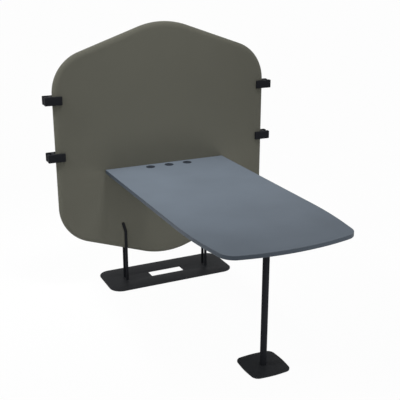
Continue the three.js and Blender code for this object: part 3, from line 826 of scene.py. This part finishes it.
def groove_lines(holes):
    """Lines of points along each rod, close together where the groove's wall is steep."""
    offsets = [-x for x in reversed(LINE_OFFSETS[1:])] + list(LINE_OFFSETS)
    lines = []
    for bend, lean in rod_bends():
        start = bend.y
        while inside_by(bend.x, start) > LINE_START_INSET:
            start -= LINE_START_STEP
        stem = np.linspace(start, bend.y - LINE_FROM_BEND, LINE_STEPS).tolist()
        stations = [(Vector((bend.x, z)), Vector((1, 0))) for z in stem]
        stations.append((bend, Vector((1 + lean.y, -lean.x)) / (1 + lean.y)))
        tail = np.linspace(LINE_FROM_BEND, ROD_TAIL_LENGTH - LINE_BEFORE_END, TAIL_LINE_STEPS).tolist()
        tail += [ROD_TAIL_LENGTH + step for step in LINE_END_STEPS]
        stations += [(bend + s * lean, Vector((lean.y, -lean.x))) for s in tail]
        lines += [[place + offset * across for place, across in stations] for offset in offsets]
    return [run for line in lines for run in clear_runs(line, holes)]


def tie_places():
    along = ROD_TAIL_LENGTH * TIE_PLACE_SHARE
    return [bend + along * lean for bend, lean in rod_bends()]


def bolt_places():
    middles = (middle_of(f"bracket_bolt_{i}") for i in NUMBERS)
    return [Vector((m.x, m.z - SCREEN_MIDDLE.z)) for m in middles]


def free_points(holes):
    """A grid of points over the cover's face, clear of the rim, the grooves and the holes."""
    half = SCREEN_SIDE_HEIGHT / 2 + SCREEN_TIP_RISE
    u, v = np.meshgrid(
        np.arange(-SCREEN_HALF_WIDTH, SCREEN_HALF_WIDTH, FACE_SPACING),
        np.arange(-half, half, FACE_SPACING),
    )
    u[1::2] += FACE_SPACING / 2
    u, v = u.ravel(), v.ravel()
    keep = rim_distance(u, v)[0] > RIM_WIDTH + POINT_FROM_RIM
    for bend, lean in rod_bends():
        du, dv = u - bend.x, v - bend.y
        beside = np.abs(np.where(dv > 0, du * lean.y - dv * lean.x, du)) < POINT_FROM_AXIS
        keep &= ~(beside & (dv < ROD_TAIL_LENGTH + POINT_PAST_TAIL))
    for centre, radius in holes:
        keep &= np.hypot(u - centre.x, v - centre.y) > radius + POINT_FROM_HOLE
    return [Vector(p) for p in zip(u[keep], v[keep])]


def filled(loops, lines, points, holes):
    """A triangle mesh of the plane: the first loop bounds it, and holes, each a centre and a radius, are
    left open. Returns its points, its triangles and, for each loop and hole, the numbers of its points."""
    flat, edges, starts = [], [], []
    circles = [circle(radius, SCREW_SIDES // 2, centre) for centre, radius in holes]
    for loop in [*loops, *circles]:
        starts.append((len(flat), len(loop)))
        edges += [(len(flat) + i, len(flat) + (i + 1) % len(loop)) for i in range(len(loop))]
        flat += loop
    for line in lines:
        edges += [(len(flat) + i, len(flat) + i + 1) for i in range(len(line) - 1)]
        flat += line
    flat += points
    made = geometry.delaunay_2d_cdt(flat, edges, [], INSIDE_LOOPS, MERGE_DISTANCE)
    places, triangles, originals = made[0], made[2], made[3]
    number = {source: i for i, sources in enumerate(originals) for source in sources}
    kept = []
    for triangle in triangles:
        middle = sum((places[i] for i in triangle), Vector((0, 0))) / 3
        if all((middle - centre).length > radius * WITHIN_HOLE for centre, radius in holes):
            kept.append(triangle)
    rings = [[number[first + i] for i in range(count)] for first, count in starts]
    return places, kept, rings


def cover(face, holes):
    """One half of the upholstery, drawn with its height as y: the face, the rim down to the seam, and the
    pocket for the board behind it."""
    turns = [math.pi / 2 * k / RIM_STEPS for k in range(RIM_STEPS + 1)]
    insets = [RIM_WIDTH * (1 - math.cos(a)) for a in turns] + [RIM_WIDTH + x for x in FACE_RINGS]
    loops = [screen_ring(inset) for inset in insets]
    places, triangles, rings = filled(loops, groove_lines(holes), free_points(holes), holes)
    u, v = (np.array([p[axis] for p in places]) for axis in (0, 1))
    height, cloth = cover_height(u, v)
    solid = Solid()
    spread = [(*c, 0) for c in cloth]

    def add_points(flat, level):
        spread.extend((*p, 0) for p in flat)
        return solid.ring([(p[0], level, p[1]) for p in flat])

    solid.ring([(a, h, b) for a, b, h in zip(u, v, height)])
    solid.add_faces(triangles, True)
    edge = rings[0]
    for k in range(1, SEAM_STEPS + 1):
        turn = math.pi / 2 * k / SEAM_STEPS
        ring = screen_ring(SEAM_ROUND * (1 - math.cos(turn)))
        lip = add_points(ring, SEAM_EDGE - SEAM_ROUND * math.sin(turn))
        solid.wall(edge, lip)
        edge = lip
    pocket = screen_ring(BOARD_POCKET_INSET)
    mouth = add_points(pocket, SEAM_GAP / 2)
    solid.wall(edge, mouth)
    floor_places, floor_triangles, floor_rings = filled([pocket], [], [], holes)
    floor_points = add_points(floor_places, BOARD_POCKET_DEPTH)
    solid.add_faces([[floor_points[i] for i in t] for t in floor_triangles], False)
    solid.wall(mouth, [floor_points[i] for i in floor_rings[0]])
    for outer, inner in zip(rings[len(loops):], floor_rings[1:]):
        solid.wall(outer, [floor_points[i] for i in inner])
    facing = Matrix.Diagonal((1, face, 1, 1))
    return solid.moved(Matrix.Translation(SCREEN_MIDDLE) @ facing).mesh("cover", spread)


def make_screen():
    ties = [(place, TIE_HOLE_RADIUS) for place in tie_places()]
    bolts = [(place, BOLT_HOLE_RADIUS) for place in bolt_places()]
    for name, face in FACES.items():
        holes = ties + bolts if face == FACES["front"] else ties
        piece = add(f"upholstery_{name}", cover(face, holes), FABRIC, f"screen_{name}_pad")


# Stand

def rod_path(side, face):
    """Places along a rod, by distance from its foot: straight, round the bend, then straight."""
    bend = math.tan(ROD_LEAN / 2) * ROD_BEND_RADIUS
    stem = ROD_BEND_HEIGHT - PLATE_TOP - bend
    arc = ROD_BEND_RADIUS * ROD_LEAN
    foot = Vector((side * ROD_SPACING / 2, SCREEN_MIDDLE.y + face * FACE_DEPTH, PLATE_TOP))

    def place(distance):
        turn = min(max(distance - stem, 0), arc) / ROD_BEND_RADIUS
        centre = foot + Vector((0, 0, min(distance, stem)))
        centre += ROD_BEND_RADIUS * Vector((side * (1 - math.cos(turn)), 0, math.sin(turn)))
        tangent = Vector((side * math.sin(turn), 0, math.cos(turn)))
        centre += tangent * max(distance - stem - arc, 0)
        return centre, Vector((tangent.z, 0, -tangent.x)), Vector((0, 1, 0))

    return place, stem, arc, stem + arc + ROD_TAIL_LENGTH - bend


def rod(side, face):
    path, stem, arc, length = rod_path(side, face)
    hole_radius, hole_depth = ROD_SCREW_HOLE
    hole_top = hole_depth - (PLATE_TOP - base_low.z)
    profile = [(0, hole_top, 0), (hole_radius, hole_top, 0), (hole_radius, 0, 0), (ROD_RADIUS, 0, 0)]
    for start, reach in ((0, stem), (stem, arc)):
        profile += [(ROD_RADIUS, start + reach * k / ROD_STEPS, 0) for k in range(1, ROD_STEPS + 1)]
    for a, wear in quarter_turn():
        inset = ROD_END_ROUND * (1 - math.cos(a))
        profile.append((ROD_RADIUS - inset, length - ROD_END_ROUND * (1 - math.sin(a)), wear))
    profile.append((0, length, 0))
    solid = turned(profile, path=path)
    tie = tie_places()[0 if side < 0 else 1]
    hole = turned(pin(TIE_THREAD_RADIUS, -1, 1), SCREW_SIDES)
    start = SCREEN_MIDDLE.y + face * (FACE_DEPTH + TIE_THREAD_PAST_AXIS)
    end = SCREEN_MIDDLE.y
    turn = Matrix.Rotation(math.pi / 2, 4, "X") @ Matrix.Scale(abs(start - end) / 2, 4, (0, 0, 1))
    hole.moved(Matrix.Translation((tie.x, (start + end) / 2, tie.y + SCREEN_MIDDLE.z)) @ turn)
    return combined(solid, hole)


def make_rods():
    for side_name, side in SIDES.items():
        for face_name, face in FACES.items():
            label = f"{face_name}_{side_name}"
            add(f"steel_rod_{label}", rod(side, face), BLACK_STEEL, f"rod_{label}")


def countersink(centre, head, low, high):
    radius, depth = head
    throat = radius - depth
    return centre, [(radius, low), (throat, low + depth), (throat, high)]


def make_base():
    width, depth = base_high.x - base_low.x, base_high.y - base_low.y
    centre = tuple(((base_low + base_high) / 2).xy)

    def outlines(inset):
        plate = rectangle(width - 2 * inset, depth - 2 * inset, BASE_CORNER_RADIUS - inset, centre)
        slot = rectangle(SLOT_LENGTH + 2 * inset, SLOT_WIDTH + 2 * inset, SLOT_CORNER_RADIUS + inset, centre)
        return plate, [slot]

    heads = []
    for side in SIDES.values():
        for face in FACES.values():
            foot = (side * ROD_SPACING / 2, SCREEN_MIDDLE.y + face * FACE_DEPTH)
            heads.append(countersink(foot, ROD_SCREW_HEAD, base_low.z, base_high.z))
    corners, slots = outlines(0)
    plate = slab(corners, base_low.z, base_high.z, PLATE_ROUND, slots, heads, PLATE_ROUND)
    add("steel_base_plate", plate, FLOOR_STEEL, "base_plate")
    corners, slots = outlines(PAD_INSET)
    add("felt_base_pad", slab(corners, 0.0, base_low.z, slots=slots), FELT, "base_plate_pad")


def foot_corners(width):
    half = width / 2
    quarter = [
        (-half, half, FOOT_CORNER_RADIUS - (FOOT_WIDTH - width) / 2),
        (-half - FOOT_BULGE, 0, FOOT_SIDE_RADIUS),
    ]
    corners = []
    for _ in range(4):
        corners += [(POST_PLACE.x + x, POST_PLACE.y + y, radius) for x, y, radius in quarter]
        quarter = [(-y, x, radius) for x, y, radius in quarter]
    return corners


def make_foot():
    head = countersink(tuple(POST_PLACE.xy), FOOT_SCREW_HEAD, foot_low.z, foot_high.z)
    plate = slab(foot_corners(FOOT_WIDTH), foot_low.z, foot_high.z, PLATE_ROUND, bores=[head])
    add("steel_foot_plate", plate, FLOOR_STEEL, "foot_plate")
    pad = slab(foot_corners(FOOT_WIDTH - 2 * PAD_INSET), 0.0, foot_low.z)
    add("felt_foot_pad", pad, FELT, "foot_plate_pad")


# Desktop

def desk_corners():
    left = [(-x, band_high.y - y, radius) for x, y, radius in DESK_HALF_OUTLINE]
    return left + [(-x, y, radius) for x, y, radius in reversed(left[:-1])]


def make_desktop():
    layer = inset_corners(desk_corners(), BAND_THICKNESS + BAND_JOINT)
    sleeves = [middle_of(f"grommet_sleeve_{name}").xy for name in GROMMETS]
    screws = [middle_of(f"{kind}_screw_{i}").xy for kind in ("flange", "bracket") for i in NUMBERS]

    def sheet(low, high, pilots):
        bores = [bore(centre, GROMMET_HOLE_RADIUS, low, high) for centre in sleeves]
        bores += [bore(centre, PILOT_HOLE_RADIUS, low, high) for centre in pilots]
        return slab(layer, low, high, bores=bores)

    add("laminate_top", sheet(core_high.z, band_high.z, []), LAMINATE, "top_laminate")
    add("laminate_back", sheet(band_low.z, core_low.z, screws), LAMINATE, "backing_laminate")
    inner = inset_corners(desk_corners(), BAND_THICKNESS)
    band = slab(desk_corners(), band_low.z, band_high.z, BAND_ROUND, [inner])
    # The band's finish is its laminate darkened by painted shade.
    add("desk_edge", band, EDGE_BAND_PAINTED_SHADE, "edge_band")


def grommet_sleeve():
    bottom = -GROMMET_SLEEVE_LENGTH
    corners = [
        (GROMMET_BORE_RADIUS, bottom, 0),
        (GROMMET_SLEEVE_RADIUS, bottom, GROMMET_ROUND / 2),
        (GROMMET_SLEEVE_RADIUS, 0, 0),
        (GROMMET_FLANGE_RADIUS, 0, 0),
        (GROMMET_FLANGE_RADIUS, GROMMET_FLANGE_HEIGHT, GROMMET_ROUND),
        (GROMMET_SEAT_RADIUS, GROMMET_FLANGE_HEIGHT, GROMMET_ROUND / 3),
        (GROMMET_SEAT_RADIUS, -GROMMET_SEAT_DEPTH, 0),
        (GROMMET_BORE_RADIUS, -GROMMET_SEAT_DEPTH, 0),
    ]
    return turned(round_profile(corners), closed=True)


def grommet_cap():
    seat = CAP_CLEARANCE - GROMMET_SEAT_DEPTH
    rim = GROMMET_SEAT_RADIUS - CAP_CLEARANCE
    skirt = GROMMET_BORE_RADIUS - CAP_CLEARANCE
    corners = [
        (0, seat, 0),
        (skirt - CAP_SKIRT_THICKNESS, seat, 0),
        (skirt - CAP_SKIRT_THICKNESS, seat - CAP_SKIRT_LENGTH, GROMMET_ROUND / 2),
        (skirt, seat - CAP_SKIRT_LENGTH, GROMMET_ROUND / 2),
        (skirt, seat, 0),
        (rim, seat, 0),
        (rim, GROMMET_FLANGE_HEIGHT, GROMMET_ROUND / 2),
        (0, GROMMET_FLANGE_HEIGHT, 0),
    ]
    half = CAP_NOTCH_WIDTH / 2
    rounding = half * CAP_NOTCH_ROUND_SHARE
    notch = [(x, CAP_NOTCH_FROM_AXIS, rounding) for x in (-half, half)]
    notch += [(x, 2 * rim, 0) for x in (half, -half)]
    return combined(turned(round_profile(corners)), slab(notch, -2 * CAP_SKIRT_LENGTH, CAP_SKIRT_LENGTH))


def make_grommets():
    for name in GROMMETS:
        centre = middle_of(f"grommet_sleeve_{name}")
        place = Matrix.Translation((centre.x, centre.y, band_high.z))
        sleeve = grommet_sleeve().moved(place)
        add(f"sleeve_{name}", sleeve, GROMMET_PLASTIC, f"grommet_sleeve_{name}")
        mesh = grommet_cap()
        mesh.transform(place)
        add(f"cap_{name}", mesh, GROMMET_PLASTIC, f"grommet_cap_{name}")


# Post, brackets and screws

def make_post():
    radius = (post_high.x - post_low.x) / 2
    inner = radius - POST_WALL
    corners = [
        (inner, post_low.z, 0),
        (radius, post_low.z, POST_END_ROUND),
        (radius, post_high.z, POST_END_ROUND),
        (inner, post_high.z, 0),
    ]
    place = Matrix.Translation((POST_PLACE.x, POST_PLACE.y, 0))
    tube = turned(round_profile(corners), closed=True).moved(place)
    add("post_tube", tube, BLACK_STEEL, "front_post")

    low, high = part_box("post_flange")
    bottom = high.z - FLANGE_THICKNESS
    bores = [bore(middle_of(f"flange_screw_{i}").xy, PILOT_HOLE_RADIUS, bottom, high.z) for i in NUMBERS]
    outline = rectangle(high.x - low.x, high.y - low.y, FLANGE_CORNER_RADIUS, POST_PLACE.xy)
    plate = slab(outline, bottom, high.z, FLANGE_ROUND, bores=bores)
    stub = turned(pin(inner - HOLE_CLEARANCE, low.z, (bottom + high.z) / 2)).moved(place)
    add("flange_plate", combined(plate, stub, "UNION"), BLACK_STEEL, "post_flange")


def make_brackets():
    screw_y, bolt_z = middle_of("bracket_screw_1").y, middle_of("bracket_bolt_1").z
    for name in SIDES:
        low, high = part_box(f"desk_bracket_{name}")
        inner_y, inner_z = high.y - BRACKET_THICKNESS, high.z - BRACKET_THICKNESS
        ends = [(low.y, high.z), (low.y, inner_z), (inner_y, low.z), (high.y, low.z)]
        outline = [(*end, BRACKET_ROUND) for end in ends]
        outline.insert(2, (inner_y, inner_z, BRACKET_INNER_RADIUS))
        outline.insert(0, (high.y, high.z, BRACKET_BEND_RADIUS))
        mesh = slab(outline, low.x, high.x, BRACKET_ROUND)
        mesh.moved(Matrix(((0, 0, 1, 0), (1, 0, 0, 0), (0, 1, 0, 0), (0, 0, 0, 1))))
        for end in (-1, 1):
            x = (low.x + high.x) / 2 + end * BRACKET_SCREW_SPACING / 2
            upright = Matrix.Translation((x, screw_y, high.z))
            level = Matrix.Translation((x, high.y, bolt_z)) @ Matrix.Rotation(math.pi / 2, 4, "X")
            for radius, place in ((PILOT_HOLE_RADIUS, upright), (BOLT_HOLE_RADIUS, level)):
                hole = turned(pin(radius, -BRACKET_HOLE_REACH, BRACKET_HOLE_REACH), SCREW_SIDES)
                mesh = combined(mesh, hole.moved(place))
        add(f"steel_bracket_{name}", mesh, BLACK_STEEL, f"desk_bracket_{name}")


def pan_head(size):
    """A screw that points up, with its head below z = 0: domed head, six-sided socket, threaded shank."""
    head_radius, head_height, shank, length, socket, socket_depth = size
    dome = head_height * SCREW_HEAD_ROUND_SHARE
    pitch = shank * THREAD_PITCH_SHARE
    crest, root = shank, shank * (1 - THREAD_DEPTH_SHARE)
    profile = [(0, length, 0), (root * SCREW_POINT_SHARE, length, 0)]
    height = length - pitch
    while height > pitch:
        profile += [(root, height + pitch / 2, 0), (crest, height, 0)]
        height -= pitch
    profile += [(root, pitch / 2, 0), (root, 0, 0), (head_radius, 0, 0), (head_radius, dome - head_height, 0)]
    for k in range(1, 2 * EDGE_STEPS + 1):
        turn = math.pi / 2 * k / (2 * EDGE_STEPS)
        radius = head_radius - dome * (1 - math.cos(turn))
        profile.append((radius, -head_height + dome * (1 - math.sin(turn)), 0))
    hexagon_from = len(profile)
    profile += [(socket, -head_height, 0), (socket, socket_depth - head_height, 0)]
    profile.append((0, socket_depth - head_height + socket * SOCKET_CONE_SHARE, 0))
    return turned(profile, SCREW_SIDES, hexagon_from=hexagon_from)


def make_screws():
    kinds = {"flange_screw": WOOD_SCREW, "bracket_screw": WOOD_SCREW, "bracket_bolt": BRACKET_BOLT}
    for kind, size in kinds.items():
        for i in NUMBERS:
            node = f"{kind}_{i}"
            low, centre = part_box(node)[0], middle_of(node)
            if kind == "bracket_bolt":
                place = Matrix.Translation((centre.x, low.y + size[1], centre.z))
                place @= Matrix.Rotation(-math.pi / 2, 4, "X")
            else:
                place = Matrix.Translation((centre.x, centre.y, low.z + size[1]))
            add(f"zinc_{node}", pan_head(size).moved(place), ZINC, node)


# Link connectors

def connector(half_depth, height):
    """A connector drawn for the right side: x grows outwards from its inner end."""
    grip, pocket, mouth = CONNECTOR_GRIP / 2, CONNECTOR_POCKET_WIDTH / 2, CONNECTOR_MOUTH_WIDTH / 2
    web = CONNECTOR_SOCKET_LENGTH + CONNECTOR_WEB_THICKNESS
    deep = web + CONNECTOR_POCKET_LENGTH
    half = [
        (web, pocket, CONNECTOR_FILLET),
        (deep, pocket, CONNECTOR_FILLET),
        (deep, mouth, CONNECTOR_FILLET),
        (CONNECTOR_LENGTH, mouth, CONNECTOR_FILLET),
        (CONNECTOR_LENGTH, half_depth, CONNECTOR_CORNER_RADIUS),
        (0, half_depth, CONNECTOR_CORNER_RADIUS),
        (0, grip, CONNECTOR_FILLET),
        (CONNECTOR_SOCKET_LENGTH, grip, CONNECTOR_FILLET),
    ]
    outline = half + [(x, -y, radius) for x, y, radius in reversed(half)]
    return slab(outline, -height / 2, height / 2, CONNECTOR_ROUND)


def make_connectors():
    for level in ("upper", "lower"):
        for name, side in SIDES.items():
            node = f"link_connector_{level}_{name}"
            low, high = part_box(node)
            centre = (low + high) / 2
            turn = Matrix.Rotation(math.pi if side < 0 else 0, 4, "Z")
            place = Matrix.Translation((high.x if side < 0 else low.x, centre.y, centre.z)) @ turn
            solid = connector((high.y - low.y) / 2, high.z - low.z).moved(place)
            add(f"connector_{level}_{name}", solid, BLACK_PLASTIC, node)


def finish_kept_nodes():
    """The CAD nodes that show as they are, mostly inside other pieces."""
    zinc = ["foot_screw", "post_plug", *(f"tie_bar_{side}" for side in SIDES)]
    zinc += [f"board_insert_{i}" for i in NUMBERS]
    zinc += [f"rod_screw_{face}_{side}" for face in FACES for side in SIDES]
    finishes = {"screen_board": PLYWOOD, "desktop_core": CHIPBOARD, **dict.fromkeys(zinc, ZINC)}
    for node, finish in finishes.items():
        materials = frame["nodes"][node].data.materials
        materials.clear()
        materials.append(finish)


# Studio

def mixed_output(tree, kind, share, first, second):
    """Shows the second shader, by its share, to rays from the camera and to those that glossy and clear
    surfaces send on, and the first to all others."""
    rays = add_node(tree, "LightPath")
    total = rays.outputs["Is Camera Ray"]
    for name in ("Is Glossy Ray", "Is Transmission Ray"):
        total = add_node(tree, "Math", {0: total, 1: rays.outputs[name]}, operation="MAXIMUM").outputs[0]
    factor = add_node(tree, "Math", {0: total, 1: share}, operation="MULTIPLY")
    mix = add_node(tree, "MixShader", {0: factor.outputs[0], 1: first.outputs[0], 2: second.outputs[0]})
    add_node(tree, kind, {0: mix.outputs[0]})


def make_floor():
    mesh = bpy.data.meshes.new("floor")
    far, low = FLOOR_HALF_WIDTH, -FLOOR_DROP
    corners = [(-far, -far, low), (far, -far, low), (far, far, low), (-far, far, low)]
    mesh.from_pydata(corners, [], [(0, 1, 2, 3)])
    show("floor", mesh)
    material = bpy.data.materials.new("floor")
    material.use_nodes = True
    tree = material.node_tree
    tree.nodes.clear()
    matt = add_node(tree, "BsdfDiffuse", {"Color": FLOOR_GREY})
    white = add_node(tree, "Emission", {"Strength": 1.0})
    mixed_output(tree, "OutputMaterial", FLOOR_WHITENING, matt, white)
    mesh.materials.append(material)


def make_world():
    world = bpy.data.worlds.new("studio")
    bpy.context.scene.world = world
    world.use_nodes = True
    tree = world.node_tree
    tree.nodes.clear()
    soft = add_node(tree, "Background", {"Color": WHITE, "Strength": WORLD_STRENGTH})
    white = add_node(tree, "Background", {"Color": WHITE, "Strength": 1.0})
    mixed_output(tree, "OutputWorld", 1.0, soft, white)


def add_lamp(name, place, target, size, power, spread):
    lamp = bpy.data.lights.new(name, "AREA")
    lamp.shape = "DISK"
    lamp.size = size
    lamp.energy = power
    lamp.spread = math.radians(spread)
    holder = show(name, lamp)
    holder.location = place
    holder.rotation_euler = (Vector(target) - Vector(place)).to_track_quat("-Z", "Y").to_euler()


def add_camera():
    camera = bpy.data.cameras.new("camera")
    camera.lens = CAMERA_LENS_MM
    camera.sensor_width = CAMERA_SENSOR_MM
    holder = show("camera", camera)
    holder.location = CAMERA_PLACE
    holder.rotation_euler = (math.pi / 2 - CAMERA_ELEVATION, 0, CAMERA_AZIMUTH)
    bpy.context.scene.camera = holder


add_camera()
make_screen()
make_rods()
make_base()
make_foot()
make_desktop()
make_grommets()
make_post()
make_brackets()
make_screws()
make_connectors()
finish_kept_nodes()
make_floor()
make_world()
for lamp in LAMPS:
    add_lamp(*lamp)
bpy.context.scene.view_settings.view_transform = "Standard"
